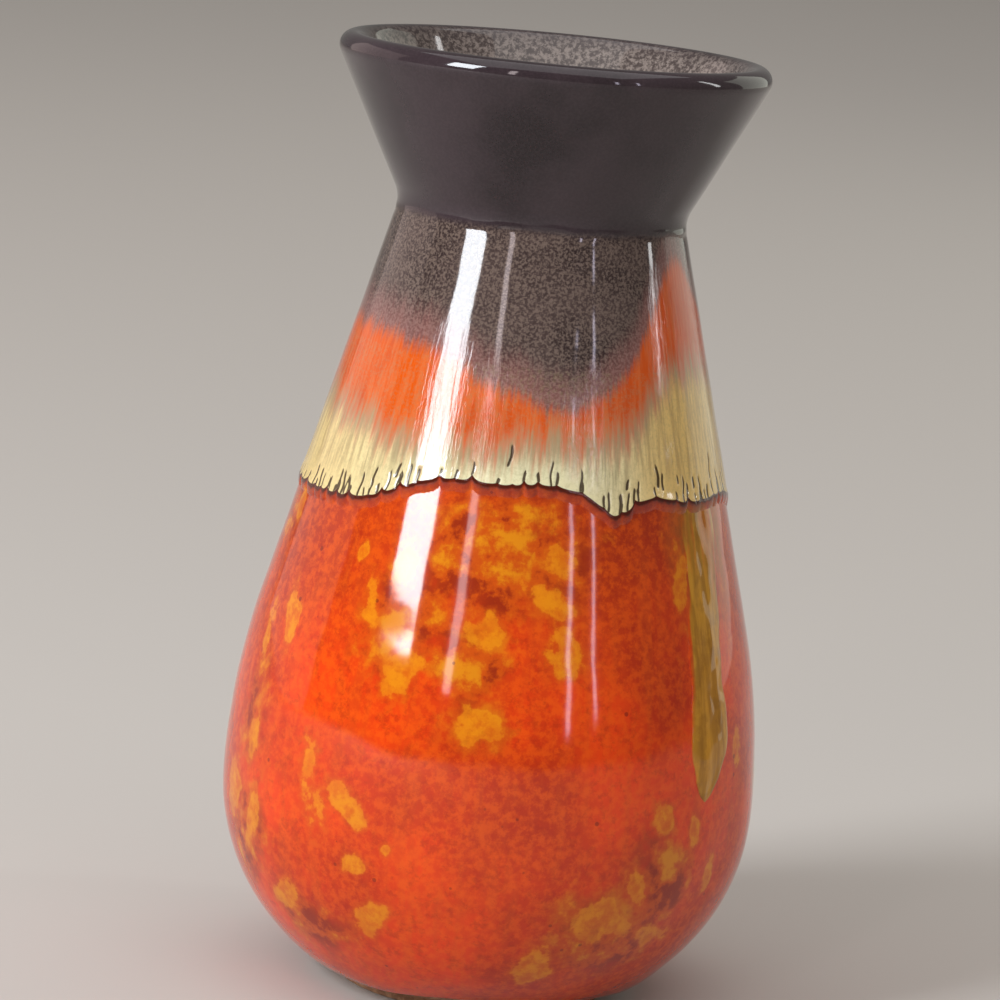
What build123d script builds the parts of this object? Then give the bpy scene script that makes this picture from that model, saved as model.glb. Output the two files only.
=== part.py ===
from build123d import *
from math import atan2, cos, pi, sin, sqrt
import os

os.makedirs("parts", exist_ok=True)

# Overall form in mm, measured on the bare clay. The coats of glaze go on top.
height = 179.0  # table to the clay crest of the lip
lip_radius = 39.9  # outside of the rolled lip
lip_bead = 1.6  # radius of the rolled lip in section
collar_height = 30.0  # crest of the lip down to the narrowest point
throat_radius = 26.6  # outside, at the narrowest point
throat_round = 8.0  # concave radius between flared collar and shoulder
belly_radius = 50.7  # outside, at the widest point
belly_height = 38.0  # widest point above the table
belly_fullness = 1.25  # upper belly radius over the throat to belly distance
wall = 4.0

# Foot ring, trimmed and left bare.
foot_radius = 26.5
foot_width = 5.0
foot_height = 3.0
foot_shelf = 4.0  # how far the belly overhangs the ring
foot_cove = 1.5
foot_edge = 0.8
floor_thickness = 5.5
heel_round = 10.0  # inside, between wall and floor

# Coats of glaze.
base_coat = 0.45
over_coat = 0.55
run_coat = 0.8
glaze_line = 4.2  # the base coat stops this far above the table
dark_drop = 25.0  # the dark collar glaze ends this far below the throat
band_width = 20.0  # cream band below the dark glaze, measured upright
collar_wrap = 14.0  # the collar glaze runs this far down inside the mouth
run_angle = 53.0  # degrees from the front, to the right
run_width = 12.0
run_length = 58.0  # below the cream band

# The section is a chain of arcs and the straight lines that touch them.
lip_c = Vector(lip_radius - lip_bead, 0, height - lip_bead)
throat_z = height - collar_height
throat_c = Vector(throat_radius + throat_round, 0, throat_z)
upper_radius = belly_fullness * (throat_z - belly_height)
upper_c = Vector(belly_radius - upper_radius, 0, belly_height)
undercut = belly_radius - foot_radius - foot_shelf
lower_radius = (undercut**2 + (belly_height - foot_height) ** 2) / (2 * undercut)
lower_c = Vector(belly_radius - lower_radius, 0, belly_height)
floor_z = foot_height + floor_thickness
heel_z = floor_z + heel_round
heel_reach = lower_radius - wall - heel_round
heel_c = Vector(lower_c.X + sqrt(heel_reach**2 - (belly_height - heel_z) ** 2), 0, heel_z)
band_top = throat_z - dark_drop
band_bottom = band_top - band_width


def across(start, r_start, end, r_end):
    """Outward unit normal of the line that touches two circles. A radius is
    negative when the circle lies on the outer side of the line."""
    gap = end - start
    along = (r_start - r_end) / gap.length
    u = gap.normalized()
    side = Vector(-u.Z, 0, u.X)
    return u * along + side * sqrt(1 - along**2)


collar_n = across(lip_c, lip_bead, throat_c, -throat_round)
taper_n = across(throat_c, -throat_round, upper_c, upper_radius)
mouth_n = across(lip_c, -lip_bead, throat_c, -throat_round - wall)
taper_top = throat_c.Z - taper_n.Z * throat_round
taper_end = belly_height + taper_n.Z * upper_radius


def arc(center, start, end):
    """Arc about a centre, the short way round."""
    a = atan2(start.Z - center.Z, start.X - center.X)
    b = atan2(end.Z - center.Z, end.X - center.X)
    turn = (b - a + pi) % (2 * pi) - pi
    mid = a + turn / 2
    r = (start - center).length
    return ThreePointArc(start, center + Vector(r * cos(mid), 0, r * sin(mid)), end)


def crest(d):
    return lip_c + Vector(0, 0, lip_bead + d)


def on_side(z, d):
    """Point below the throat: the clay at height z, moved d square to it."""
    if z > taper_end:
        slope = Vector(taper_n.Z, 0, -taper_n.X)
        start = throat_c - taper_n * (throat_round - d)
        return start + slope * ((taper_top - z) / taper_n.X)
    center, radius = (upper_c, upper_radius) if z > belly_height else (lower_c, lower_radius)
    rise = z - belly_height
    u = Vector(sqrt(radius**2 - rise**2), 0, rise) * (1 / radius)
    return center + u * (radius + d)


def on_mouth(depth, d):
    """Point on the inside of the collar, depth below the crest."""
    start = lip_c - mouth_n * (lip_bead + d)
    slope = Vector(mouth_n.Z, 0, -mouth_n.X)
    return start + slope * ((start.Z - height + depth) / mouth_n.X)


def half_lip(d, n):
    """Roll of the lip from the crest to where its normal is n."""
    return arc(lip_c, crest(d), lip_c + n * (lip_bead + d))


def whole_lip(d):
    """Roll of the lip from the collar over the crest to the mouth."""
    a = lip_c + collar_n * (lip_bead + d)
    return ThreePointArc(a, crest(d), lip_c - mouth_n * (lip_bead + d))


def neck(d):
    """Outside of collar and throat, from the lip to the start of the taper."""
    a = lip_c + collar_n * (lip_bead + d)
    b = throat_c - collar_n * (throat_round - d)
    return [Line(a, b), arc(throat_c, b, on_side(taper_top, d))]


def side(d, high, low):
    """Outside of taper and belly between two heights, d above the clay."""
    stops = [high] + [z for z in (taper_end, belly_height) if low < z < high] + [low]
    edges = []
    for top, bottom in zip(stops, stops[1:]):
        start, end = on_side(top, d), on_side(bottom, d)
        if bottom >= taper_end:
            edges.append(Line(start, end))
        else:
            edges.append(arc(upper_c if bottom >= belly_height else lower_c, start, end))
    return edges


def cavity(d):
    """The whole inside, from the lip to the axis."""
    a = lip_c - mouth_n * (lip_bead + d)
    b = throat_c - mouth_n * (throat_round + wall + d)
    c = throat_c - taper_n * (throat_round + wall + d)
    e = upper_c + taper_n * (upper_radius - wall - d)
    f = Vector(belly_radius - wall - d, 0, belly_height)
    g = lower_c + (heel_c - lower_c).normalized() * (lower_radius - wall - d)
    h = Vector(heel_c.X, 0, floor_z + d)
    return [
        Line(a, b),
        arc(throat_c, b, c),
        Line(c, e),
        arc(upper_c, e, f),
        arc(lower_c, f, g),
        arc(heel_c, g, h),
        Line(h, Vector(0, 0, floor_z + d)),
    ]


def foot():
    """Underside, from the overhang round the foot ring to the axis."""
    inner = foot_radius - foot_width
    cove_z = foot_height - foot_cove
    points = [
        (foot_radius + foot_cove, foot_height),
        (foot_radius, cove_z),
        (foot_radius, foot_edge),
        (foot_radius - foot_edge, 0),
        (inner + foot_edge, 0),
        (inner, foot_edge),
        (inner, cove_z),
        (inner - foot_cove, foot_height),
    ]
    p = [Vector(x, 0, z) for x, z in points]
    return [
        Line(on_side(foot_height, 0), p[0]),
        arc(Vector(p[0].X, 0, cove_z), p[0], p[1]),
        Line(p[1], p[2]),
        arc(Vector(p[3].X, 0, foot_edge), p[2], p[3]),
        Line(p[3], p[4]),
        arc(Vector(p[4].X, 0, foot_edge), p[4], p[5]),
        Line(p[5], p[6]),
        arc(Vector(p[7].X, 0, cove_z), p[6], p[7]),
        Line(p[7], Vector(0, 0, foot_height)),
    ]


def spun(edges):
    return revolve(make_face(edges), Axis.Z)


def save(shape, name, color):
    shape.label = name
    shape.color = Color(*color)
    export_step(shape, f"parts/{name}.step")


# Thrown clay body: wall, floor, flared collar with its rolled lip, foot ring.
axis_line = Line((0, 0, foot_height), (0, 0, floor_z))
outside = neck(0) + side(0, taper_top, foot_height)
clay = spun([whole_lip(0)] + outside + foot() + [axis_line] + cavity(0))
save(clay, "clay_body", (0.62, 0.44, 0.33))

# Liner coat over the whole inside. It meets the base coat at the crest.
base = base_coat
over = base_coat + over_coat
crest_line = Line(crest(0), crest(base))
floor_line = Line((0, 0, floor_z), (0, 0, floor_z + base))
liner = spun(
    [half_lip(0, -mouth_n)]
    + cavity(0)
    + [floor_line]
    + cavity(base)
    + [half_lip(base, -mouth_n), crest_line]
)
save(liner, "inner_glaze", (0.20, 0.18, 0.18))

# Base coat over the whole outside, down to the glaze line.
body_glaze = spun(
    [half_lip(0, collar_n)]
    + neck(0)
    + side(0, taper_top, glaze_line)
    + [Line(on_side(glaze_line, 0), on_side(glaze_line, base))]
    + side(base, taper_top, glaze_line)
    + neck(base)
    + [half_lip(base, collar_n), crest_line]
)
save(body_glaze, "body_glaze", (0.78, 0.24, 0.05))

# Cream band, a second coat over the base coat.
cream = spun(
    side(base, band_top, band_bottom)
    + side(over, band_top, band_bottom)
    + [Line(on_side(z, base), on_side(z, over)) for z in (band_top, band_bottom)]
)
save(cream, "cream_band_glaze", (0.72, 0.62, 0.42))

# Dark collar glaze, from the band up over the lip and a little way inside.
edges = [Line(on_side(band_top, base), on_side(band_top, over))]
edges += [Line(on_mouth(collar_wrap, base), on_mouth(collar_wrap, over))]
for d in (base, over):
    inside = Line(whole_lip(d) @ 1, on_mouth(collar_wrap, d))
    edges += [inside, whole_lip(d)] + neck(d) + side(d, taper_top, band_top)
collar = spun(edges)
save(collar, "collar_glaze", (0.17, 0.12, 0.12))

# One long raised run of ochre glaze, hanging from the cream band. It is a
# thicker skin, cut to the outline of the run as seen square on.
outer = base_coat + run_coat
skin_low = glaze_line + run_width
skin = spun(
    side(base, band_bottom, skin_low)
    + side(outer, band_bottom, skin_low)
    + [Line(on_side(z, base), on_side(z, outer)) for z in (band_bottom, skin_low)]
)
half = run_width / 2
tip = band_bottom - run_length
narrowing = tip + 2.2 * half
outline = [
    Line((-half, height), (-half, narrowing)),
    ThreePointArc((-half, narrowing), (-half * 0.8, tip + 0.95 * half), (0, tip)),
    ThreePointArc((0, tip), (half * 0.8, tip + 0.95 * half), (half, narrowing)),
    Line((half, narrowing), (half, height)),
    Line((half, height), (-half, height)),
]
facing = Plane(origin=(0, 0, 0), x_dir=(1, 0, 0), z_dir=(0, -1, 0)).rotated((0, 0, run_angle))
run = skin & extrude(facing * make_face(outline), amount=lip_radius + belly_radius)
save(run, "ochre_glaze_run", (0.62, 0.47, 0.12))
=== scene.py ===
import math
import random

import bpy
import numpy as np
from mathutils import Matrix, Vector, noise


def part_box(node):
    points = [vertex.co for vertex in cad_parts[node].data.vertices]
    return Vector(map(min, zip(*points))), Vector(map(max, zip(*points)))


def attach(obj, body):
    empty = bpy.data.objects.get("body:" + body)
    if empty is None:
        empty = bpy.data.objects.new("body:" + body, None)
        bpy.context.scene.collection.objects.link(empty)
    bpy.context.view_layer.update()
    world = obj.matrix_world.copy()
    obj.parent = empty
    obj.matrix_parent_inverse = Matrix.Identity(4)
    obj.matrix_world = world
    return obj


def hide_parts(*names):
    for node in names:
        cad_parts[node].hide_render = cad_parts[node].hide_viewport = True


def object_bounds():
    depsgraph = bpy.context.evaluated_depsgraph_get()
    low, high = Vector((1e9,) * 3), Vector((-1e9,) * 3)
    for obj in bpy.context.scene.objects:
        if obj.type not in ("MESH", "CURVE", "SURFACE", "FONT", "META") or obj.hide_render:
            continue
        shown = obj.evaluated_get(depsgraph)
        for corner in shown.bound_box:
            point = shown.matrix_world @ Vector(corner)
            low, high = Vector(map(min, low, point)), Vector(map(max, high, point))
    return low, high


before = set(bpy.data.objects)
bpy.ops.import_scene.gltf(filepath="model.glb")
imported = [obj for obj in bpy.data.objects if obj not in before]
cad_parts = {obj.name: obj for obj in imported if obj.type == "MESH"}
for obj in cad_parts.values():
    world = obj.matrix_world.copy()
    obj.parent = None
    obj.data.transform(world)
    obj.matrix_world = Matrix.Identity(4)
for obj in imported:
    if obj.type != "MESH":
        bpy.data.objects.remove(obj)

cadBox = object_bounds()
mm = 0.001

# Camera first: a long lens a little above the lip, tipped to one side.
camera = {
    "lens": 162.0,  # mm, on a 36 mm sensor
    "distance": 842.8 * mm,  # in front of the vase's axis
    "aboveLip": 64.7 * mm,
    "pitch": 10.17,  # degrees down
    "yaw": -0.19,
    "roll": 5.40,
}


def makeCamera():
    top = cadBox[1].z
    location = Vector((0, -camera["distance"], top + camera["aboveLip"]))
    bpy.ops.object.camera_add(location=location)
    cam = bpy.context.object
    cam.name = "view_camera"
    pitch, yaw, roll = (math.radians(camera[k]) for k in ("pitch", "yaw", "roll"))
    ahead = Vector((math.sin(yaw) * math.cos(pitch), math.cos(yaw) * math.cos(pitch), -math.sin(pitch)))
    level = ahead.cross(Vector((0, 0, 1))).normalized()
    up = level.cross(ahead)
    right = level * math.cos(roll) + up * math.sin(roll)
    up = right.cross(ahead)
    cam.rotation_euler = Matrix([right, up, -ahead]).transposed().to_euler()
    cam.data.lens = camera["lens"]
    cam.data.sensor_width = 36
    cam.data.clip_start = 0.01
    cam.data.clip_end = 50
    bpy.context.scene.camera = cam


makeCamera()
print("camera made")

# Soft studio: a tall window-like key on the left, wide tinted fills, a soft top.
studio = {
    "floorSize": 14.0,
    "floorTint": "#bdb7b1",
    "worldTint": "#e6e2dc",
    "world": 0.28,
    # name: azimuth and elevation from the vase in degrees, distance, width, height, watts, tint
    "lights": {
        "key_window": (-51, 27.5, 1.6, 0.45, 0.78, 27, "#f4f9ff"),
        "key_gap": (-22, 21, 1.6, 0.10, 0.74, 1.7, "#ffeef0"),
        "left_wall": (-114, 12, 1.8, 1.6, 1.3, 4.5, "#f6ddd6"),
        "right_wall": (134, 16, 1.8, 1.2, 1.2, 4, "#eef2e4"),
        "right_slit_a": (32, 12, 1.6, 0.05, 0.46, 0.6, "#f3eaff"),
        "right_slit_b": (44, 13, 1.6, 0.04, 0.46, 0.5, "#f3eaff"),
        "right_window": (96, 26, 1.6, 0.10, 0.80, 2.2, "#ffffff"),
        "top_soft": (0, 84, 6.0, 8.0, 8.0, 230, "#ffffff"),
    },
}


def toLinear(hexColour):
    parts = [int(hexColour[i:i + 2], 16) / 255 for i in (1, 3, 5)]
    return tuple(c / 12.92 if c <= 0.04045 else ((c + 0.055) / 1.055) ** 2.4 for c in parts) + (1.0,)


def addNode(tree, kind, links=(), out=0, **settings):  # links: values or outputs, by name or in order
    new = tree.nodes.new("ShaderNode" + kind)
    for name, value in settings.items():
        setattr(new, name, value)
    for name, value in links.items() if isinstance(links, dict) else enumerate(links):
        if isinstance(value, bpy.types.NodeSocket):
            tree.links.new(value, new.inputs[name])
        else:
            new.inputs[name].default_value = value
    return new.outputs[out] if new.outputs else None


def newMaterial(name):
    mat = bpy.data.materials.new(name)
    mat.use_nodes = True
    mat.node_tree.nodes.clear()
    return mat, mat.node_tree


def makeStudio():
    lowest = cadBox[0].z
    bpy.ops.mesh.primitive_plane_add(size=studio["floorSize"], location=(0, 0, lowest))
    floor = bpy.context.object
    floor.name = "pale_floor"
    mat, tree = newMaterial("plain_floor_paper")
    paper = addNode(tree, "BsdfPrincipled", {
        "Base Color": toLinear(studio["floorTint"]), "Roughness": 0.9, "Specular IOR Level": 0.1})
    addNode(tree, "OutputMaterial", {"Surface": paper})
    floor.data.materials.append(mat)
    middle = Vector((0, 0, (cadBox[0].z + cadBox[1].z) / 2))
    for name, (azimuth, rise, away, wide, tall, watts, tint) in studio["lights"].items():
        a, e = math.radians(azimuth), math.radians(rise)
        spot = Vector((math.sin(a) * math.cos(e), -math.cos(a) * math.cos(e), math.sin(e)))
        bpy.ops.object.light_add(type="AREA", location=middle + spot * away)
        light = bpy.context.object
        light.name = name
        light.rotation_euler = spot.to_track_quat("Z", "Y").to_euler()
        light.data.shape = "RECTANGLE"
        light.data.size = wide
        light.data.size_y = tall
        light.data.energy = watts
        light.data.color = toLinear(tint)[:3]
        light.visible_camera = False
    world = bpy.data.worlds.new("pale_room")
    bpy.context.scene.world = world
    world.use_nodes = True
    world.node_tree.nodes.clear()
    room = addNode(world.node_tree, "Background", {
        "Color": toLinear(studio["worldTint"]), "Strength": studio["world"]})
    addNode(world.node_tree, "OutputWorld", {"Surface": room})
    bpy.context.scene.view_settings.view_transform = "Standard"


makeStudio()
print("studio made")

# The thrown form, as the CAD has it. Heights and the widest radius come from the frame.
clayLow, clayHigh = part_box("clay_body")
form = {
    "height": clayHigh.z,
    "bellyRadius": clayHigh.x,
    "lipRadius": 39.9 * mm,
    "lipBead": 1.6 * mm,
    "collarHeight": 30.0 * mm,
    "throatRadius": 26.6 * mm,
    "throatRound": 8.0 * mm,
    "bellyHeight": 38.0 * mm,
    "bellyFullness": 1.25,
    "wall": 4.0 * mm,
    "footRadius": 26.5 * mm,
    "footWidth": 5.0 * mm,
    "footShelf": 4.0 * mm,
    "footHeight": 3.0 * mm,
    "footCove": 1.5 * mm,
    "footEdge": 0.8 * mm,
    "floorThickness": 5.5 * mm,
    "heelRound": 10.0 * mm,
}
samePlace = 0.0005 * mm  # two points of an outline nearer than this are one
weldGap = 0.002 * mm  # the same, for a spun mesh


def polar(center, radius, angle):
    return center + Vector((math.cos(angle), math.sin(angle))) * radius


def angleOf(v):
    return math.atan2(v.y, v.x)


def touchingNormal(start, startRadius, end, endRadius):  # of the line that touches two circles
    gap = end - start
    along = (startRadius - endRadius) / gap.length
    unit = gap.normalized()
    return unit * along + Vector((-unit.y, unit.x)) * math.sqrt(1 - along * along)


def solveForm():  # sections are (radius, height) pairs
    f = form
    f["lipC"] = Vector((f["lipRadius"] - f["lipBead"], f["height"] - f["lipBead"]))
    throatZ = f["height"] - f["collarHeight"]
    f["throatC"] = Vector((f["throatRadius"] + f["throatRound"], throatZ))
    f["upperR"] = f["bellyFullness"] * (throatZ - f["bellyHeight"])
    f["upperC"] = Vector((f["bellyRadius"] - f["upperR"], f["bellyHeight"]))
    undercut = f["bellyRadius"] - f["footRadius"] - f["footShelf"]
    f["lowerR"] = (undercut ** 2 + (f["bellyHeight"] - f["footHeight"]) ** 2) / (2 * undercut)
    f["lowerC"] = Vector((f["bellyRadius"] - f["lowerR"], f["bellyHeight"]))
    f["collarN"] = touchingNormal(f["lipC"], f["lipBead"], f["throatC"], -f["throatRound"])
    f["taperN"] = touchingNormal(f["throatC"], -f["throatRound"], f["upperC"], f["upperR"])
    f["mouthN"] = touchingNormal(f["lipC"], -f["lipBead"], f["throatC"], -f["throatRound"] - f["wall"])
    f["taperTop"] = f["throatC"].y - f["taperN"].y * f["throatRound"]
    f["taperEnd"] = f["bellyHeight"] + f["taperN"].y * f["upperR"]
    f["floorTop"] = f["footHeight"] + f["floorThickness"]


solveForm()


def sidePoints(z, lift):  # below the throat: radius and height of points lifted square off the clay
    f = form
    z = np.asarray(z, float)
    n = f["taperN"]
    top = f["throatC"] - n * f["throatRound"]
    onTaper = top.x + (f["taperTop"] - z) * n.y / n.x
    upper = z > f["bellyHeight"]
    arcR = np.where(upper, f["upperR"], f["lowerR"])
    arcC = np.where(upper, f["upperC"].x, f["lowerC"].x)
    rise = (z - f["bellyHeight"]) / arcR
    out = np.sqrt(np.clip(1 - rise ** 2, 0, 1))
    straight = z > f["taperEnd"]
    radius = np.where(straight, onTaper + n.x * lift, arcC + out * (arcR + lift))
    height = np.where(straight, z + n.y * lift, f["bellyHeight"] + rise * (arcR + lift))
    return radius, height


def sideLine(high, low, spacing, lift):
    count = max(1, round((high - low) / spacing))
    radius, height = sidePoints(np.linspace(high, low, count + 1), lift)
    return [Vector(p) for p in zip(radius, height)]


def arcLine(center, radius, start, end, spacing):
    count = max(2, round(abs(end - start) * radius / spacing))
    return [polar(center, radius, start + (end - start) * i / count) for i in range(count + 1)]


def straightLine(start, end, spacing):
    count = max(1, round((end - start).length / spacing))
    return [start.lerp(end, i / count) for i in range(count + 1)]


def joined(*runs):
    line = []
    for run in runs:
        line += [p for p in run if not line or (p - line[-1]).length > samePlace]
    return line


def neckLine(lift, spacing):  # crest of the lip, down the outside, to the top of the taper
    f = form
    collar, taper = angleOf(f["collarN"]), angleOf(f["taperN"])
    outer, inner = f["lipBead"] + lift, f["throatRound"] - lift
    return joined(
        arcLine(f["lipC"], outer, math.pi / 2, collar, spacing / 3),
        straightLine(f["lipC"] + f["collarN"] * outer, f["throatC"] - f["collarN"] * inner, spacing),
        arcLine(f["throatC"], inner, collar + math.pi, taper + math.pi, spacing / 2))


def mouthLine(lift, spacing, depth=None):  # crest of the lip, down the inside of the collar
    f = form
    n = f["mouthN"]
    start = f["lipC"] - n * (f["lipBead"] + lift)
    end = f["throatC"] - n * (f["throatRound"] + f["wall"] + lift)
    if depth:
        end = start.lerp(end, (depth - (f["height"] - start.y)) / (start.y - end.y))
    return joined(
        arcLine(f["lipC"], f["lipBead"] + lift, math.pi / 2, angleOf(n) + math.pi, spacing / 3),
        straightLine(start, end, spacing))


def cavityLine(lift, spacing):  # from the end of the mouth's cone to the middle of the floor
    f = form
    mouth, taper = angleOf(f["mouthN"]) + math.pi, angleOf(f["taperN"]) + math.pi
    neckR = f["throatRound"] + f["wall"] + lift
    upper, lower = f["upperR"] - f["wall"] - lift, f["lowerR"] - f["wall"] - lift
    heelZ = f["floorTop"] + f["heelRound"]
    reach = f["lowerR"] - f["wall"] - f["heelRound"]
    heelC = Vector((f["lowerC"].x + math.sqrt(reach ** 2 - (f["bellyHeight"] - heelZ) ** 2), heelZ))
    heel = angleOf(heelC - f["lowerC"])
    return joined(
        arcLine(f["throatC"], neckR, mouth, taper, spacing / 2),
        straightLine(polar(f["throatC"], neckR, taper), f["upperC"] + f["taperN"] * upper, spacing),
        arcLine(f["upperC"], upper, angleOf(f["taperN"]), 0, spacing),
        arcLine(f["lowerC"], lower, 0, heel, spacing),
        arcLine(heelC, f["heelRound"] - lift, heel, -math.pi / 2, spacing / 2),
        straightLine(Vector((heelC.x, f["floorTop"] + lift)), Vector((0, f["floorTop"] + lift)), spacing * 2))


def spinOutline(name, outline, columns):
    # The outline is drawn by extruding one vertex from point to point. A quarter turn is spun and
    # mirrored twice, which is much quicker than a whole turn.
    bpy.ops.object.select_all(action="DESELECT")
    start = outline[0]
    bpy.ops.mesh.primitive_plane_add(size=mm, location=(start.x, 0, start.y))
    piece = bpy.context.object
    piece.name = name
    bpy.ops.object.transform_apply(location=True, rotation=True, scale=True)
    bpy.ops.object.mode_set(mode="EDIT")
    bpy.ops.mesh.select_all(action="SELECT")
    bpy.ops.mesh.merge(type="CENTER")
    for a, b in zip(outline, outline[1:]):
        bpy.ops.mesh.extrude_region_move(TRANSFORM_OT_translate={"value": (b.x - a.x, 0, b.y - a.y)})
    bpy.ops.mesh.select_all(action="SELECT")
    bpy.ops.mesh.remove_doubles(threshold=samePlace)
    bpy.ops.mesh.spin(steps=columns // 4, angle=math.pi / 2, center=(0, 0, 0), axis=(0, 0, 1))
    bpy.ops.mesh.select_all(action="SELECT")
    bpy.ops.mesh.remove_doubles(threshold=weldGap)
    bpy.ops.object.mode_set(mode="OBJECT")
    mirror = piece.modifiers.new("otherQuarters", "MIRROR")
    mirror.use_axis = (True, True, False)
    mirror.merge_threshold = weldGap
    bpy.ops.object.modifier_apply(modifier=mirror.name)
    bpy.ops.object.mode_set(mode="EDIT")
    bpy.ops.mesh.select_all(action="SELECT")
    bpy.ops.mesh.remove_doubles(threshold=weldGap)
    bpy.ops.mesh.normals_make_consistent(inside=False)
    bpy.ops.object.mode_set(mode="OBJECT")
    return piece


def readPoints(piece):
    points = np.zeros(len(piece.data.vertices) * 3)
    piece.data.vertices.foreach_get("co", points)
    return points.reshape(-1, 3)


def writePoints(piece, points):
    piece.data.vertices.foreach_set("co", points.ravel())
    piece.data.update()


def writeValue(piece, name, values):
    layer = piece.data.attributes.new(name, "FLOAT", "POINT")
    layer.data.foreach_set("value", np.asarray(values, np.float32))


def finishPiece(piece, node, material):
    bpy.ops.object.select_all(action="DESELECT")
    piece.select_set(True)
    bpy.context.view_layer.objects.active = piece
    bpy.ops.object.shade_smooth_by_angle(angle=math.radians(50))
    piece.data.materials.clear()
    piece.data.materials.append(material)
    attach(piece, "root")
    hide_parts(node)
    print(piece.name, len(piece.data.vertices), "vertices")


def aroundOf(points):  # degrees from the front, positive to the right
    return np.degrees(np.arctan2(points[:, 0], -points[:, 1]))


def eased(x):
    x = np.clip(x, 0, 1)
    return x * x * (3 - 2 * x)


def pushOut(points, amount):  # moves points away from the axis, and less within 8 mm of it
    radius = np.hypot(points[:, 0], points[:, 1])
    scale = 1 + amount * eased(radius / (8 * mm)) / np.maximum(radius, mm)
    points[:, :2] *= scale[:, None]


# The pot is very slightly uneven, and every coat follows the clay in the same way.
unevenness = {
    "inward": 0.20 * mm,
    "oval": 0.07 * mm,
    "threeSided": 0.045 * mm,
    "ring": 0.018 * mm,
    "ringPitch": 13 * mm,
    "melt": 0.05 * mm,  # slow waves of the melted surface
    "meltSize": 9 * mm,
}


def followClay(points):
    u = unevenness
    a = np.arctan2(points[:, 0], -points[:, 1])
    z = points[:, 2]
    wave = u["oval"] * np.sin(2 * a + 0.7 + z * 9) + u["threeSided"] * np.sin(3 * a + 2.1 - z * 14)
    wave += u["ring"] * np.sin(z / u["ringPitch"] * 2 * math.pi + 0.4 * np.sin(a))
    melt = np.array([noise.noise(Vector(p) / u["meltSize"]) for p in points])
    pushOut(points, wave + u["melt"] * melt - u["inward"])


def smoothCurve(stops, angles):  # smooth curve all the way round through (azimuth, value) stops
    x = np.array([s[0] for s in stops], float)
    y = np.array([s[1] for s in stops], float)
    x = np.concatenate([x - 360, x, x + 360])
    y = np.tile(y, 3)
    slope = np.gradient(y, x)
    i = np.clip(np.searchsorted(x, angles) - 1, 0, len(x) - 2)
    w = x[i + 1] - x[i]
    t = (angles - x[i]) / w
    return ((2 * t ** 3 - 3 * t ** 2 + 1) * y[i] + (t ** 3 - 2 * t ** 2 + t) * w * slope[i]
            + (3 * t ** 2 - 2 * t ** 3) * y[i + 1] + (t ** 3 - t ** 2) * w * slope[i + 1])


# Where one colour of the upper coat runs into the next: height in mm by azimuth in degrees.
flow = {
    "darkEnd": [
        (-165, 128), (-130, 121), (-105, 130), (-82, 128), (-58, 127), (-30, 125.5), (-14, 122), (0, 119),
        (11, 116.5), (23, 119.5), (38, 128.5), (47, 136), (60, 144), (78, 138), (105, 124), (140, 120),
        (165, 125)],
    "orangeEnd": [
        (-160, 112), (-120, 114), (-69, 111.5), (-54, 110), (-36, 108.3), (-20, 108.3), (-5, 109.3),
        (9, 109.8), (23, 110.5), (37, 116), (44, 121), (62, 124), (85, 122), (115, 112), (150, 109)],
    "creamEnd": [
        (-160, 99), (-120, 101), (-90, 96), (-73, 96), (-62, 96.3), (-50, 96.6), (-40, 98), (-32, 100.3),
        (-26, 102.2), (-20, 103.2), (-4, 103.5), (12, 103.8), (20, 102.3), (24, 100.4), (27, 99.2),
        (30, 99.7), (36, 101.6), (54, 100.8), (76, 101), (100, 98), (130, 102), (160, 100)],
    # how far the cream has turned khaki, from 0 to 1
    "khaki": [
        (-150, 0.4), (-100, 0.8), (-70, 0.75), (-40, 0.45), (-20, 0.15), (10, 0.05), (28, 0.3),
        (40, 0.8), (75, 1.0), (110, 0.6), (160, 0.2)],
}

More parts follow.
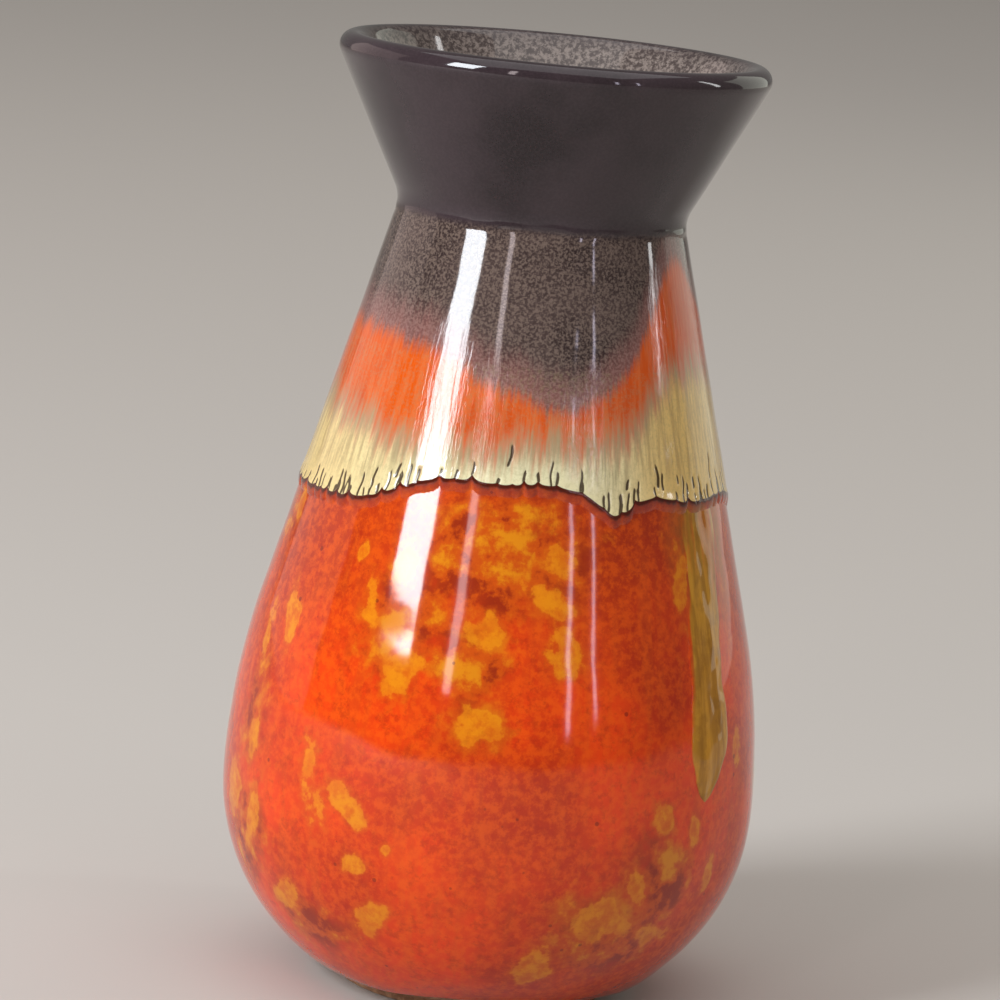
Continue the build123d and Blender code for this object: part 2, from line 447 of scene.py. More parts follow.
# Yellow-orange islands in the body glaze: azimuth and height of the middle, width and tallness in mm,
# lean in degrees, strength.
islands = [
    (-33, 80, 4, 16, -15, 0.8), (-21, 68, 7, 12, 25, 0.9), (-25, 87, 4, 5, 0, 0.8),
    (-38, 88, 3, 4, 0, 1), (8, 84, 9, 6, 30, 0.6), (16, 74, 10, 9, 25, 0.8), (-4, 76, 7, 7, 0, 0.6),
    (11, 92, 6, 6, 0, 0.6), (-3, 61, 9, 6, -20, 0.6), (-78, 86, 6, 6, 0, 1), (-73, 92, 4, 6, 0, 0.8),
    (-57, 72, 4.5, 15, -18, 1), (-66, 67, 4, 9, 0, 0.8), (-41, 47, 5, 14, -10, 1),
    (-30, 42, 12, 5, 30, 1), (-37, 41, 6, 8, 0, 0.8), (-20, 35.5, 3, 3, 0, 1), (-27, 31.5, 5, 4, 0, 1),
    (-23, 22, 7, 7, 20, 1), (-59, 34, 5, 16, 25, 0.9), (-68, 38, 7, 14, 10, 0.7),
    (-50, 21, 10, 5, -30, 0.7), (-62, 50, 4, 12, 5, 0.8), (27, 25, 13, 10, 25, 0.85),
    (15, 15.5, 7, 8, 0, 0.9), (36, 30, 4, 10, -25, 0.8), (40, 44, 5, 7, -30, 1), (50, 40, 4, 8, -15, 1),
    (57, 32, 3.5, 8, -10, 1), (44, 21, 8, 4, 10, 0.7), (48, 86, 5, 16, 4, 0.7), (66, 52, 3, 9, 0, 0.5),
    (-88, 46, 6, 12, 0, 0.8), (-100, 70, 9, 14, 12, 0.8), (-118, 38, 12, 10, 0, 0.9),
    (-112, 92, 8, 8, 0, 0.7), (-135, 84, 9, 12, -15, 0.7), (-150, 50, 8, 15, 10, 0.9),
    (-172, 28, 12, 9, 0, 0.9), (-160, 20, 8, 9, 0, 0.7), (172, 78, 12, 8, 8, 0.6),
    (158, 62, 7, 9, 0, 0.8), (150, 44, 7, 14, -20, 0.9), (132, 88, 9, 8, 0, 0.6),
    (128, 24, 10, 8, 15, 0.9), (118, 62, 6, 13, 15, 0.8), (100, 30, 12, 8, 0, 0.9),
    (92, 76, 8, 14, 0, 0.7), (84, 46, 6, 9, -10, 0.9),
]
# Larger mottled clouds of the same glaze, in the same terms.
clouds = [
    (-2, 90, 38, 26, 0, 1), (-24, 77, 19, 26, 10, 1), (-6, 72, 22, 16, 0, 0.7),
    (-3, 61, 14, 12, 0, 0.6), (30, 22, 28, 20, 20, 1), (43, 32, 16, 24, -20, 0.8),
    (-62, 30, 18, 26, 20, 0.9), (-44, 16, 20, 12, 0, 0.7), (-64, 52, 12, 22, 0, 0.6),
    (-78, 90, 12, 16, 0, 0.6), (56, 88, 18, 26, 0, 0.5), (172, 80, 30, 24, 0, 1),
    (-136, 86, 22, 20, 0, 0.8), (130, 28, 26, 20, 0, 0.9), (-165, 24, 26, 18, 0, 0.9),
    (-105, 50, 16, 26, 0, 0.7), (96, 66, 18, 26, 0, 0.6),
]
# Olive washes under the band, where the ochre run starts, in the same terms.
washes = [(60, 92, 26, 36, 0, 1.4), (-140, 92, 20, 20, 0, 0.8), (120, 93, 18, 20, 0, 0.8)]


def blobField(points, blobs):  # a blob's strength in its middle, 0 at its outline
    around = aroundOf(points)
    radius = np.hypot(points[:, 0], points[:, 1])
    out = np.full(len(points), -3.0)
    for azimuth, height, wide, tall, lean, strength in blobs:
        arc = np.radians((around - azimuth + 180) % 360 - 180) * radius / mm
        rise = points[:, 2] / mm - height
        turn = math.radians(lean)
        across = (arc * math.cos(turn) - rise * math.sin(turn)) * 2 / wide
        up = (arc * math.sin(turn) + rise * math.cos(turn)) * 2 / tall
        out = np.maximum(out, strength * (1 - np.hypot(across, up)))
    return out


def writeBodyPattern(piece, points):
    writeValue(piece, "island", blobField(points, islands))
    writeValue(piece, "clouds", blobField(points, clouds))
    writeValue(piece, "wash", np.clip(blobField(points, washes), 0, 1))


def writeFlow(piece, points, edge):
    around = aroundOf(points)
    z = points[:, 2] / mm
    writeValue(piece, "underDark", smoothCurve(flow["darkEnd"], around) - z)
    writeValue(piece, "underOrange", smoothCurve(flow["orangeEnd"], around) - z)
    writeValue(piece, "khaki", smoothCurve(flow["khaki"], around))
    writeValue(piece, "overEdge", z - edge)


print("form ready")


# Materials. Each pattern's scale is worked out from its real size.
soft = {"interpolation_type": "SMOOTHSTEP"}
glazeIor = 1.48  # glassy glazes lie near 1.5


def patternPlaces(tree):
    # Object position, and a copy wrapped round a 40 mm cylinder and squeezed in height to a tenth, so
    # that noise runs in upright streaks.
    spot = addNode(tree, "TexCoord", out="Object")
    flat = addNode(tree, "VectorMath", (spot, (1, 1, 0)), operation="MULTIPLY")
    unit = addNode(tree, "VectorMath", (flat,), operation="NORMALIZE")
    ring = addNode(tree, "VectorMath", {0: unit, "Scale": 40 * mm}, operation="SCALE")
    rise = addNode(tree, "VectorMath", (spot, (0, 0, 0.10)), operation="MULTIPLY")
    return spot, addNode(tree, "VectorMath", (ring, rise), operation="ADD")


def patches(tree, place, size, low, high, detail=3.0, rough=0.55, least=0.0):
    # Soft-edged patches about size metres across, from least between them to 1 in their middles.
    field = addNode(tree, "TexNoise", {
        "Vector": place, "Scale": 0.5 / size, "Detail": detail, "Roughness": rough})
    return addNode(tree, "MapRange", (field, low, high, least), **soft)


def wander(tree, place, size, reach, detail=3.0, rough=0.55):
    # Waves about size metres across, on both sides of zero.
    field = addNode(tree, "TexNoise", {
        "Vector": place, "Scale": 0.5 / size, "Detail": detail, "Roughness": rough})
    middle = addNode(tree, "Math", (field, 0.5), operation="SUBTRACT")
    return addNode(tree, "Math", (middle, reach), operation="MULTIPLY")


def layOver(tree, colour, over, strength, *masks):
    # Lays a colour over another where every mask is high, and there as strongly as strength says.
    amount = masks[0]
    for mask in masks[1:] + ((strength,) if strength != 1 else ()):
        amount = addNode(tree, "Math", (amount, mask), operation="MULTIPLY")
    colour, over = (toLinear(c) if isinstance(c, str) else c for c in (colour, over))
    return addNode(tree, "Mix", {0: amount, 6: colour, 7: over}, out=2, data_type="RGBA")


def finishedSurface(tree, colour, roughness, peelSize, peelDepth, relief=None, reliefDepth=0.0):
    # The shader: a colour under the fine orange peel of a fired surface, and any relief on top of it.
    place = addNode(tree, "TexCoord", out="Object")
    peel = addNode(tree, "TexNoise", {
        "Vector": place, "Scale": 0.5 / peelSize, "Detail": 2, "Roughness": 0.55})
    bump = addNode(tree, "Bump", {"Height": peel, "Strength": 1.0, "Distance": peelDepth})
    if relief:
        bump = addNode(tree, "Bump", {
            "Height": relief, "Strength": 1.0, "Distance": reliefDepth, "Normal": bump})
    shader = addNode(tree, "BsdfPrincipled", {
        "Base Color": colour, "Roughness": roughness, "IOR": glazeIor, "Normal": bump})
    addNode(tree, "OutputMaterial", {"Surface": shader})


def bodyColour(tree, spot, streak):
    wash, clouded, island = (addNode(tree, "Attribute", out="Fac", attribute_name=name)
                             for name in ("wash", "clouds", "island"))
    colour = layOver(tree, "#dc3c02", "#ae2a03", 1, patches(tree, spot, 15 * mm, 0.38, 0.64, 4))
    height = addNode(tree, "SeparateXYZ", (spot,), out="Z")
    shoulder = addNode(tree, "MapRange", (height, 58 * mm, 98 * mm), **soft)
    colour = layOver(tree, colour, "#8c2a06", 0.62, shoulder)
    colour = layOver(tree, colour, "#bc4a0a", 0.30, patches(tree, streak, 1.1 * mm, 0.46, 0.66, 4))
    colour = layOver(tree, colour, "#e45a04", 0.45, patches(tree, spot, 0.9 * mm, 0.4, 0.62, 6, 0.7))
    colour = layOver(tree, colour, "#9c2002", 0.45, patches(tree, spot, 1.3 * mm, 0.50, 0.66, 6, 0.72))
    colour = layOver(tree, colour, "#8e5e16", 1, patches(tree, streak, 1.6 * mm, 0.34, 0.58, 4, 0.6), wash)
    # Broad clouds, broken up by mottling: dark red, orange, then yellow.
    ragged = wander(tree, spot, 3.6 * mm, 3.3, 6, 0.60)
    mottle = addNode(tree, "TexNoise", {
        "Vector": spot, "Scale": 0.5 / (2.8 * mm), "Detail": 6, "Roughness": 0.62})
    broken = layOver(tree, "#8a2404", "#bc4a04", 1, addNode(tree, "MapRange", (mottle, 0.40, 0.50), **soft))
    broken = layOver(tree, broken, "#d0800a", 1, addNode(tree, "MapRange", (mottle, 0.50, 0.64), **soft))
    clouded = addNode(tree, "Math", (ragged, 0.5, clouded), operation="MULTIPLY_ADD")
    colour = layOver(tree, colour, broken, 0.92, addNode(tree, "MapRange", (clouded, -0.10, 0.45), **soft))
    # Small clear islands with a brighter rim.
    field = addNode(tree, "Math", (island, ragged), operation="ADD")
    colour = layOver(tree, colour, "#c44e04", 0.6, addNode(tree, "MapRange", (field, -0.45, 0.25), **soft))
    inner = addNode(tree, "MapRange", (field, -0.10, 0.55), **soft)
    core = patches(tree, spot, 1.7 * mm, 0.38, 0.62, 6, 0.68, 0.25)
    colour = layOver(tree, colour, "#d88207", 0.90, inner, core)
    rimStart = addNode(tree, "MapRange", (field, 0.06, 0.22), **soft)
    rimEnd = addNode(tree, "MapRange", (field, 0.22, 0.50, 1, 0), **soft)
    colour = layOver(tree, colour, "#e49810", 0.24, rimStart, rimEnd)
    # Round iron specks up to 1.2 mm across, one in every few millimetres.
    cells = addNode(tree, "TexVoronoi", {"Vector": spot, "Scale": 1 / (4.2 * mm)})
    size = addNode(tree, "MapRange", (cells.node.outputs["Color"], 0.35, 0.9, -0.05, 0.13), **soft)
    within = addNode(tree, "Math", (size, cells), operation="SUBTRACT")
    return layOver(tree, colour, "#641605", 0.6, addNode(tree, "MapRange", (within, 0.0, 0.035), **soft))


def bodyFinish():  # iron-red over-fired glossy glaze: glassy deep orange with yellow crystals and dark specks
    mat, tree = newMaterial("orange_red_gloss_glaze")
    finishedSurface(tree, bodyColour(tree, *patternPlaces(tree)), 0.07, 2.2 * mm, 0.012 * mm)
    return mat


def upperColour(tree, spot, streak):
    # Dark over orange over cream, melted into each other in upright streaks. Also the streaks' relief.
    khaki, edge, toOrange, toDark = (addNode(tree, "Attribute", out="Fac", attribute_name=name)
                                     for name in ("khaki", "overEdge", "underOrange", "underDark"))
    fine = wander(tree, streak, 0.40 * mm, 10, 4, 0.6)
    broad = wander(tree, streak, 2.6 * mm, 8, 3, 0.5)
    drag = addNode(tree, "Math", (fine, broad), operation="ADD")
    toOrange = addNode(tree, "Math", (toOrange, drag), operation="ADD")
    toDark = addNode(tree, "Math", (drag, 0.6, toDark), operation="MULTIPLY_ADD")
    streaky = patches(tree, streak, 0.5 * mm, 0.38, 0.64, 4, 0.6)
    risen = addNode(tree, "MapRange", (edge, 0.5, 7.0), **soft)
    cream = layOver(tree, "#d6d0a8", "#dcba72", 1, khaki)
    ash = layOver(tree, "#9a9678", "#b8985e", 1, khaki)
    cream = layOver(tree, cream, ash, 0.85, streaky, risen)
    blush = layOver(tree, "#b87c5c", "#a08a68", 1, streaky)
    colour = layOver(tree, cream, blush, 1, addNode(tree, "MapRange", (toOrange, -1.0, 5.5, 1, 0), **soft))
    orange = layOver(tree, "#bc4814", "#cc4e02", 1, patches(tree, spot, 8 * mm, 0.36, 0.6))
    orange = layOver(tree, orange, "#cc7a48", 0.35, streaky)
    colour = layOver(tree, colour, orange, 1, addNode(tree, "MapRange", (toOrange, -6.0, 1.0, 1, 0), **soft))
    fleck = patches(tree, spot, 0.26 * mm, 0.42, 0.60, 4, 0.72)
    haze = layOver(tree, "#664a48", "#8c706a", 0.6, fleck)
    colour = layOver(tree, colour, haze, 0.92, addNode(tree, "MapRange", (toDark, -1.5, 2.5, 1, 0), **soft))
    dusk = layOver(tree, "#2e2221", "#433532", 1, patches(tree, spot, 6 * mm, 0.38, 0.62))
    dusk = layOver(tree, dusk, "#75645a", 0.72, fleck)
    darkPart = addNode(tree, "MapRange", (toDark, -9.0, -1.0, 1, 0), **soft)
    colour = layOver(tree, colour, dusk, 1, darkPart)
    glassy = layOver(tree, "#1a1014", "#352a2e", 1, patches(tree, spot, 16 * mm, 0.36, 0.64))
    glassy = layOver(tree, glassy, "#54464a", 0.12, fleck)
    height = addNode(tree, "SeparateXYZ", (spot,), out="Z")
    neck = addNode(tree, "MapRange", (height, 147.3 * mm, 149.3 * mm), **soft)
    pale = addNode(tree, "Math", (1.0, darkPart), operation="SUBTRACT")
    relief = addNode(tree, "Math", (streaky, pale), operation="MULTIPLY")
    return layOver(tree, colour, glassy, 1, neck), relief


def bandFinish():  # opaque cream second coat: glossy, streaked, crazed and outlined in brown where it ends; the brown line and the darker red below it are partly painted shadow under the coat's raised edge
    mat, tree = newMaterial("cream_streaked_gloss_glaze")
    spot, streak = patternPlaces(tree)
    upper, relief = upperColour(tree, spot, streak)
    over, crack = (addNode(tree, "Attribute", out="Fac", attribute_name=name)
                   for name in ("overEdge", "crack"))
    # Darker red below the cream's edge: partly the body glaze's own halo there, partly painted shadow under
    # the coat's raised edge.
    shade = addNode(tree, "MapRange", (over, -2.4, -0.3), **soft)
    under = layOver(tree, bodyColour(tree, spot, streak), "#701804", 0.75, shade)
    upper = layOver(tree, upper, "#8c8560", 0.22, patches(tree, spot, 0.35 * mm, 0.46, 0.62, 4, 0.7))
    colour = layOver(tree, under, upper, 1, addNode(tree, "MapRange", (over, -0.05, 0.08), **soft))
    torn = wander(tree, spot, 0.8 * mm, 1.6, 4)
    frayed = addNode(tree, "Math", (over, torn), operation="ADD")
    # The brown outline along the cream's edge: partly the glazes' own colour where they meet, partly painted
    # shadow of the raised edge.
    rimStart = addNode(tree, "MapRange", (frayed, -1.1, -0.35), **soft)
    rimEnd = addNode(tree, "MapRange", (over, 0.0, 0.12, 1, 0), **soft)
    colour = layOver(tree, colour, "#350e04", 0.85, rimStart, rimEnd)
    colour = layOver(tree, colour, "#2e1a0a", 0.92, addNode(tree, "MapRange", (crack, 0.25, 0.6), **soft))
    finishedSurface(tree, colour, 0.07, 2.2 * mm, 0.012 * mm, relief, 0.012 * mm)
    return mat


def speckledGrey(tree, spot):
    return layOver(tree, "#4a403d", "#8d8078", 0.8, patches(tree, spot, 0.4 * mm, 0.42, 0.60, 4, 0.72))


def collarFinish():  # iron and manganese glaze: near black and glassy on the collar, flecked and softer below
    mat, tree = newMaterial("aubergine_gloss_glaze")
    spot, streak = patternPlaces(tree)
    colour, relief = upperColour(tree, spot, streak)
    mouth = addNode(tree, "Attribute", out="Fac", attribute_name="mouth")
    colour = layOver(tree, colour, speckledGrey(tree, spot), 1, mouth)
    finishedSurface(tree, colour, 0.06, 2.6 * mm, 0.014 * mm, relief, 0.012 * mm)
    return mat


def linerFinish():  # the same iron glaze, thinner and cooler inside: satin, grey-brown and speckled
    mat, tree = newMaterial("grey_brown_satin_glaze")
    finishedSurface(tree, speckledGrey(tree, patternPlaces(tree)[0]), 0.16, 2.6 * mm, 0.02 * mm)
    return mat


def runFinish():  # ash-rich run: clear olive and ochre glass, thick enough to stand up as a drop
    mat, tree = newMaterial("ochre_clear_glaze")
    spot, streak = patternPlaces(tree)
    ochre = layOver(tree, "#a07018", "#c28c28", 1, patches(tree, streak, 0.9 * mm, 0.40, 0.62, 4))
    ochre = layOver(tree, ochre, "#765010", 0.40, patches(tree, spot, 2.2 * mm, 0.46, 0.64, 5, 0.6))
    ochre = layOver(tree, ochre, "#b4540c", 0.5, patches(tree, streak, 1.8 * mm, 0.52, 0.66))
    fade = addNode(tree, "Attribute", out="Fac", attribute_name="fade")
    edge = addNode(tree, "Math", (fade, wander(tree, streak, 1.3 * mm, 1.3, 4)), operation="ADD")
    shown = addNode(tree, "MapRange", (edge, 0.0, 0.45), **soft)
    colour = layOver(tree, bodyColour(tree, spot, streak), ochre, 0.95, shown)
    finishedSurface(tree, colour, 0.05, 2.2 * mm, 0.014 * mm)
    return mat


def clayFinish():  # bare stoneware at the foot: dry, toasted buff, slightly gritty
    mat, tree = newMaterial("bare_fired_stoneware")
    grog = patches(tree, patternPlaces(tree)[0], 0.7 * mm, 0.45, 0.6, 3, 0.7)
    finishedSurface(tree, layOver(tree, "#a9805f", "#8a6247", 1, grog), 0.85, 0.6 * mm, 0.05 * mm)
    return mat


finishes = {"body": bodyFinish(), "band": bandFinish(), "collar": collarFinish(), "liner": linerFinish(),
            "run": runFinish(), "clay": clayFinish()}
print("finishes ready")

# Clay wall, floor and turned foot. Only the foot and the underside show.
clay = {
    "columns": 256,
    "hiddenStep": 3.0 * mm,
    "footStep": 0.5 * mm,
    "footTop": 6.0 * mm,  # the fine steps stop here
    "turnDepth": 0.06 * mm,  # grooves left by the turning tool
    "turnPitch": 1.7 * mm,
}


def makeClay():
    f = form
    inner = f["footRadius"] - f["footWidth"]
    edge, cove, shelf = f["footEdge"], f["footCove"], f["footHeight"]
    step = clay["footStep"]
    foot = joined(
        straightLine(Vector((0, shelf)), Vector((inner - cove, shelf)), step),
        arcLine(Vector((inner - cove, shelf - cove)), cove, math.pi / 2, 0, step),
        arcLine(Vector((inner + edge, edge)), edge, math.pi, math.pi * 1.5, step / 2),
        arcLine(Vector((f["footRadius"] - edge, edge)), edge, -math.pi / 2, 0, step / 2),
        arcLine(Vector((f["footRadius"] + cove, shelf - cove)), cove, math.pi, math.pi / 2, step),
        sideLine(shelf, clay["footTop"], step, 0))
    rest = clay["hiddenStep"]
    outline = joined(
        foot, sideLine(clay["footTop"], f["taperTop"], -rest, 0), neckLine(0, rest)[::-1],
        mouthLine(0, rest), cavityLine(0, rest))
    piece = spinOutline("clayBody", outline, clay["columns"])
    points = readPoints(piece)
    radius = np.hypot(points[:, 0], points[:, 1])
    under = (np.abs(points[:, 2] - shelf) < 0.1 * mm) & (radius < inner - cove)
    points[under, 2] += clay["turnDepth"] * (1 - np.cos(radius[under] / clay["turnPitch"] * 2 * math.pi)) / 2
    writePoints(piece, points)
    finishPiece(piece, "clay_body", finishes["clay"])


# Body glaze: the base coat over the whole outside, hidden above the band's lower edge.
bodyGlaze = {
    "columns": 360,
    "step": 0.9 * mm,
    "hiddenStep": 3.5 * mm,
    "coat": 0.45 * mm,
    "sunk": 0.06 * mm,  # how far a coat reaches into what it lies on
    "glazeLine": 4.2 * mm,
    "edgeStep": 0.15 * mm,
    "shownBelow": 112 * mm,
    # The lower edge was wiped by hand, so it isn't quite level: waves round the pot, height in mm, phase.
    "wiped": [(3, 0.35, 1), (7, 0.25, 2)],
    "wipedUpTo": 6 * mm,  # above the edge
}


def makeBodyGlaze():
    g = bodyGlaze
    top = form["taperTop"]
    low = g["glazeLine"]
    radius, height = sidePoints([low], 0)
    center = Vector((radius[0], height[0]))
    radius, height = sidePoints([low], g["coat"])
    outward = angleOf(Vector((radius[0], height[0])) - center)
    outer = joined(
        neckLine(g["coat"], g["hiddenStep"]), sideLine(top, g["shownBelow"], g["hiddenStep"], g["coat"]),
        sideLine(g["shownBelow"], low, g["step"], g["coat"]),
        arcLine(center, g["coat"], outward, outward - math.pi / 2, g["edgeStep"]))  # rounded lower edge
    under = joined(neckLine(-g["sunk"], g["hiddenStep"]), sideLine(top, low, g["hiddenStep"], -g["sunk"]))
    piece = spinOutline("bodyGlaze", outer + under[::-1] + outer[:1], g["columns"])
    points = readPoints(piece)
    followClay(points)
    around = np.radians(aroundOf(points))
    wiped = sum(size * np.sin(around * waves + phase) for waves, size, phase in g["wiped"])
    points[:, 2] += wiped * mm * eased(1 - (points[:, 2] - low) / g["wipedUpTo"])
    writePoints(piece, points)
    writeBodyPattern(piece, points)
    finishPiece(piece, "body_glaze", finishes["body"])


# Liner glaze over the whole inside.
liner = {"columns": 240, "step": 1.6 * mm, "hiddenStep": 4 * mm, "coat": 0.45 * mm, "sunk": 0.3 * mm}


def makeLiner():
    g = liner
    shown = joined(mouthLine(g["coat"], g["step"]), cavityLine(g["coat"], g["step"]))
    hidden = joined(mouthLine(-g["sunk"], g["hiddenStep"]), cavityLine(-g["sunk"], g["hiddenStep"]))
    piece = spinOutline("linerGlaze", shown[::-1] + hidden, g["columns"])
    points = readPoints(piece)
    followClay(points)
    writePoints(piece, points)
    finishPiece(piece, "inner_glaze", finishes["liner"])


# Dark collar glaze, from the band up over the lip and a little way inside.
collarGlaze = {
    "columns": 360,
    "step": 0.9 * mm,
    "hiddenStep": 3 * mm,
    "coat": 1.0 * mm,  # the outer face, above the clay
    "base": 0.39 * mm,  # the hidden face, above the clay
    "wrap": 14 * mm,
    "lowerEnd": 124 * mm,
    "creamEdge": 100,  # mm, well below this piece
    "crease": 148.7 * mm,  # where the glassy part stops in a fine uneven ridge
    "creaseWaves": [(2, 0.5, 0.6), (7, 0.25, 2), (19, 0.12, 0)],  # waves round the pot, height in mm, phase
    "ridge": 0.16 * mm,
    "ridgeWidth": 0.6 * mm,
    "flare": 0.45,  # about how far the collar leans out for each step up
    "skin": 1.5 * mm,  # what lies this much further in belongs to the mouth
    "mouthEase": 3.5 * mm,  # the speckled grey of the mouth comes in over this
    "mouthAbove": 160 * mm,  # the ridge lies below this height and the mouth above it
}


def makeCollar():
    g = collarGlaze
    shown = joined(
        mouthLine(g["coat"], g["step"], g["wrap"])[::-1], neckLine(g["coat"], g["step"]),
        sideLine(form["taperTop"], g["lowerEnd"], g["step"], g["coat"]))
    hidden = joined(
        mouthLine(g["base"], g["hiddenStep"], g["wrap"])[::-1], neckLine(g["base"], g["hiddenStep"]),
        sideLine(form["taperTop"], g["lowerEnd"], g["hiddenStep"], g["base"]))
    piece = spinOutline("collarGlaze", shown + hidden[::-1] + shown[:1], g["columns"])
    points = readPoints(piece)
    angle = np.radians(aroundOf(points))
    radius = np.hypot(points[:, 0], points[:, 1])
    height = points[:, 2]
    crease = g["crease"] + mm * sum(
        size * np.sin(angle * waves + phase) for waves, size, phase in g["creaseWaves"])
    off = (height - crease) / g["ridgeWidth"]
    # How far out the collar's outer face is at each height tells the outside from the mouth.
    cone = form["throatC"].x - form["throatRound"] + (height - form["throatC"].y) * g["flare"]
    facing = radius > cone - g["skin"]
    size = g["ridge"] * (0.7 + 0.5 * np.sin(angle * 5 + 1) * np.sin(angle * 11))
    ridge = np.where(facing & (height < g["mouthAbove"]), size * np.exp(-off ** 2), 0)
    within = (form["lipC"].x - radius) / g["mouthEase"]
    mouth = np.where(facing, 0, eased(within)) * (height > g["mouthAbove"])
    followClay(points)
    pushOut(points, ridge)
    writePoints(piece, points)
    writeFlow(piece, points, g["creamEdge"])
    writeValue(piece, "mouth", mouth)
    finishPiece(piece, "collar_glaze", finishes["collar"])


# Cream band: the second coat, ending below in scallops and cracked in places.
band = {
    "columns": 1000,
    "fineStep": 0.3 * mm,
    "step": 0.6 * mm,
    "hiddenStep": 3 * mm,
    "coat": 1.0 * mm,
    "base": 0.39 * mm,
    "top": 124 * mm,
    "fineBelow": 107 * mm,
    "low": 93.5 * mm,
    "rollEnd": 2.3,  # mm below the colour's edge, where the clear roll of glaze stops
    "bulge": 0.12 * mm,  # the extra swelling of that roll
    "notchGap": (2.6, 8.5),  # degrees from one notch to the next
    "notchDepth": (0.25, 1.3),  # mm
    "notchSharpness": 6,  # higher is narrower
    "notchCracks": 0.75,  # the share of the notches that a crack starts from
    "looseCracks": 120,
    "crackDepth": 0.16 * mm,
    "crackWidth": (0.34, 0.62),  # mm
    "seed": 11,
}


def scallopEdge(around):
    # Height in mm of the cream's lower edge: rounded lobes with sharp notches between them.
    draw = random.Random(band["seed"])
    edge = smoothCurve(flow["creamEnd"], around)
    notches = []
    angle = -180.0
    while angle < 176:
        notches.append((angle, draw.uniform(*band["notchDepth"])))
        angle += draw.uniform(*band["notchGap"])
    notches.append((180.0, notches[0][1]))
    sharp = band["notchSharpness"]
    for (a, cutA), (b, cutB) in zip(notches, notches[1:]):
        here = (around >= a) & (around < b)
        t = (around[here] - a) / (b - a)
        edge[here] += cutA * np.exp(-t * sharp) + cutB * np.exp((t - 1) * sharp) - band["notchDepth"][0]
    return edge, notches


def crackField(around, z, edge, radius, notches):
    # 1 on the middle of a crack, 0 at its side. Cracks lean a little and wander. Each has its azimuth
    # and its two ends, in mm above the cream's edge.
    draw = random.Random(band["seed"] + 1)
    start = -0.3
    cracks = []
    for angle, _ in notches:
        if draw.random() < band["notchCracks"]:
            cracks.append((angle, start, draw.uniform(1.2, 3.5)))
    for _ in range(band["looseCracks"]):
        angle = draw.uniform(-180, 180)
        # The front has few of them.
        if -28 < angle < 22 and draw.random() < 0.85:
            continue
        low = draw.choice([start, start, draw.uniform(0.8, 4)])
        cracks.append((angle, low, low + draw.uniform(1.5, 6)))
    field = np.zeros(len(z))
    for angle, low, high in cracks:
        lean = draw.uniform(-0.12, 0.12)
        width = draw.uniform(*band["crackWidth"])
        phase = draw.uniform(0, 6)
        arc = np.radians((around - angle + 180) % 360 - 180) * radius / mm
        near = np.abs(arc) < 2.5
        up = z[near] - edge[near]
        side = arc[near] - lean * up - 0.15 * np.sin(up * 1.4 + phase)
        length = eased((up - low) / 0.5) * eased((high - up) / (0.35 * (high - low)))
        field[near] = np.maximum(field[near], (1 - np.abs(side) / width).clip(0, 1) * length)
    return field


def makeBand():
    g = band
    shown = joined(
        sideLine(g["top"], g["fineBelow"], g["step"], g["coat"]),
        sideLine(g["fineBelow"], g["low"], g["fineStep"], g["coat"]))
    hidden = sideLine(g["top"], g["low"], g["hiddenStep"], g["base"])
    piece = spinOutline("creamBand", shown + hidden[::-1] + shown[:1], g["columns"])
    points = readPoints(piece)
    around = aroundOf(points)
    z = points[:, 2] / mm
    radius = np.hypot(points[:, 0], points[:, 1])
    edge, notches = scallopEdge(around)
    crack = crackField(around, z, edge, radius, notches)
    # Full thickness above, a rounded roll below the colour's edge, then down into the base coat.
    shownNow = radius > sidePoints(points[:, 2], (g["coat"] + g["base"]) / 2)[0]
    over = z - edge
    roll = np.sqrt(np.clip((over + g["rollEnd"]) / g["rollEnd"], 0, 1))
    bulge = g["bulge"] * np.exp(-((over + 0.4) / 1.2) ** 2)
    depth = (g["coat"] - g["base"]) * (1 - roll) - bulge + g["crackDepth"] * crack
    followClay(points)
    pushOut(points, np.where(shownNow, -depth, 0))
    writePoints(piece, points)
    writeFlow(piece, points, edge)
    writeBodyPattern(piece, points)
    writeValue(piece, "crack", crack)
    finishPiece(piece, "cream_band_glaze", finishes["band"])


# The one long run of ochre glaze, hanging from the band and ending in a drop.
ochreRun = {
    "segments": 64,
    "rings": 220,
    "lift": 0.41 * mm,
    # height, azimuth, half width, thickness (mm), how clearly it stands out from the body glaze
    "course": [(45.8, 53.4, 0.0, 0.0, 1.0), (47.2, 53.4, 1.7, 0.40, 1.0), (50.0, 53.5, 3.9, 0.80, 1.0),
               (54.0, 53.8, 5.4, 0.92, 1.0), (59.0, 54.2, 5.9, 0.66, 1.0), (66.0, 54.8, 5.6, 0.40, 0.95),
               (76.0, 56.0, 5.2, 0.36, 0.8), (88.0, 57.5, 5.4, 0.26, 0.65), (98.0, 59.0, 5.8, 0.18, 0.6),
               (104.0, 60.0, 6.0, 0.1, 0.6)],
    "ripple": 0.2 * mm,  # slow lumps in the run's face
    "sway": 0.7,  # degrees to either side
}


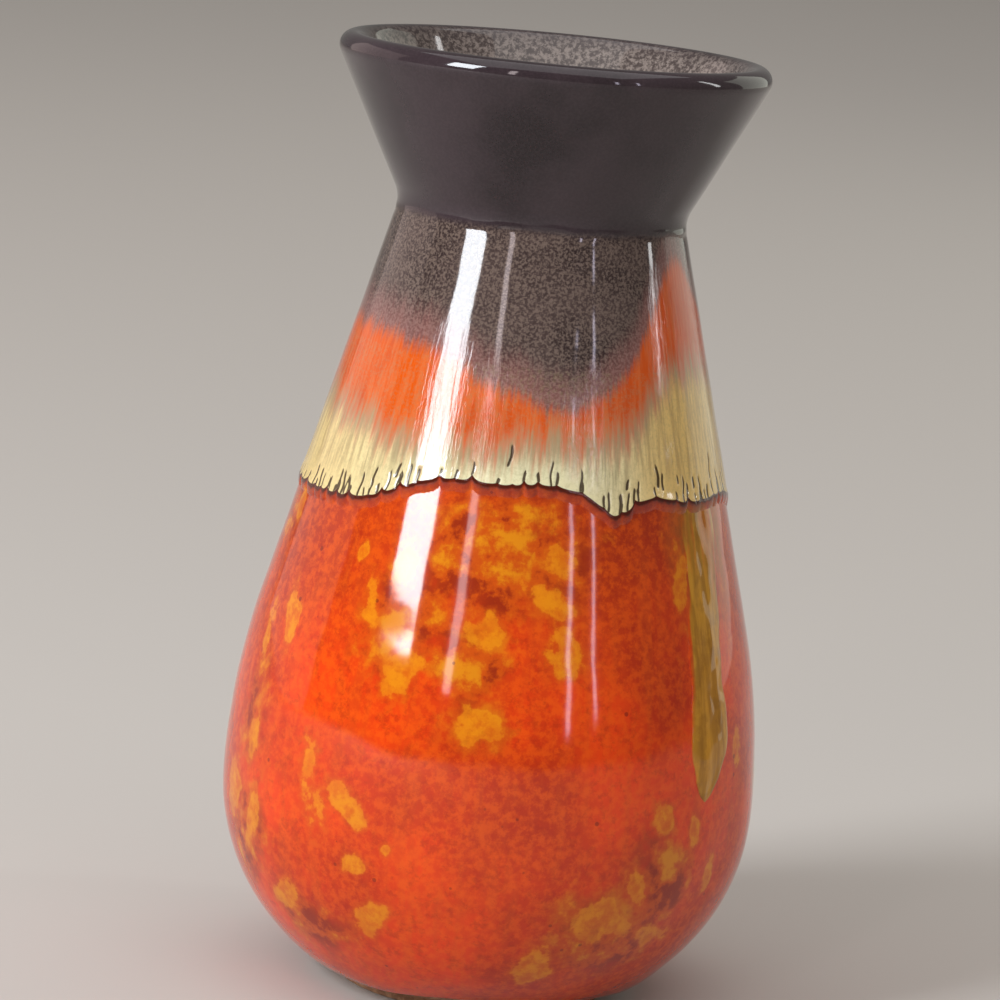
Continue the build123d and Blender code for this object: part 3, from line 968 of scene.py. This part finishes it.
def makeRun():
    g = ochreRun
    bpy.ops.object.select_all(action="DESELECT")
    bpy.ops.mesh.primitive_uv_sphere_add(segments=g["segments"], ring_count=g["rings"], radius=1)
    piece = bpy.context.object
    piece.name = "ochreRun"
    unit = readPoints(piece)
    course = np.array(g["course"])
    t = 1 - np.arccos(np.clip(unit[:, 2], -1, 1)) / math.pi  # 0 at the tip
    z = course[0, 0] + (course[-1, 0] - course[0, 0]) * t
    azimuth, half, thick, clear = (np.interp(z, course[:, 0], course[:, i]) for i in (1, 2, 3, 4))
    girth = np.hypot(unit[:, 0], unit[:, 1])
    across = np.where(girth > 1e-6, unit[:, 0] / np.maximum(girth, 1e-6), 0)
    out = np.where(girth > 1e-6, -unit[:, 1] / np.maximum(girth, 1e-6), 0)
    # Its width and its course wander a little on the way down.
    half = half * (1 + 0.05 * np.sin(z * 0.35) + 0.03 * np.sin(z * 0.8 + 1))
    azimuth = azimuth + g["sway"] * np.sin(z * 0.21 + 2)
    # Full along both flanks and a little flatter between them.
    crown = np.where(out > 0, out * (0.72 + 0.28 * (1 - out ** 4)) * 1.1, out * 0.08)
    lumps = np.array([noise.noise(Vector((a * 2.2, b * 0.22, 7))) for a, b in zip(across, z)])
    ripple = g["ripple"] * lumps * np.clip(out, 0, 1) * np.clip(thick * 4, 0, 1)
    lift = g["lift"] + thick * mm * crown + ripple
    radius, height = sidePoints(z * mm, lift)
    angle = np.radians(azimuth) + across * half * mm / radius
    points = np.stack([radius * np.sin(angle), -radius * np.cos(angle), height], axis=1)
    followClay(points)
    writePoints(piece, points)
    writeBodyPattern(piece, points)
    writeValue(piece, "fade", (np.clip(out, 0, 1) * 0.9 + 0.1) * clear - 0.35 * (1 - clear))
    bpy.ops.object.mode_set(mode="EDIT")
    bpy.ops.mesh.select_all(action="SELECT")
    bpy.ops.mesh.normals_make_consistent(inside=False)
    bpy.ops.object.mode_set(mode="OBJECT")
    finishPiece(piece, "ochre_glaze_run", finishes["run"])


for make in (makeClay, makeBodyGlaze, makeLiner, makeCollar, makeBand, makeRun):
    make()
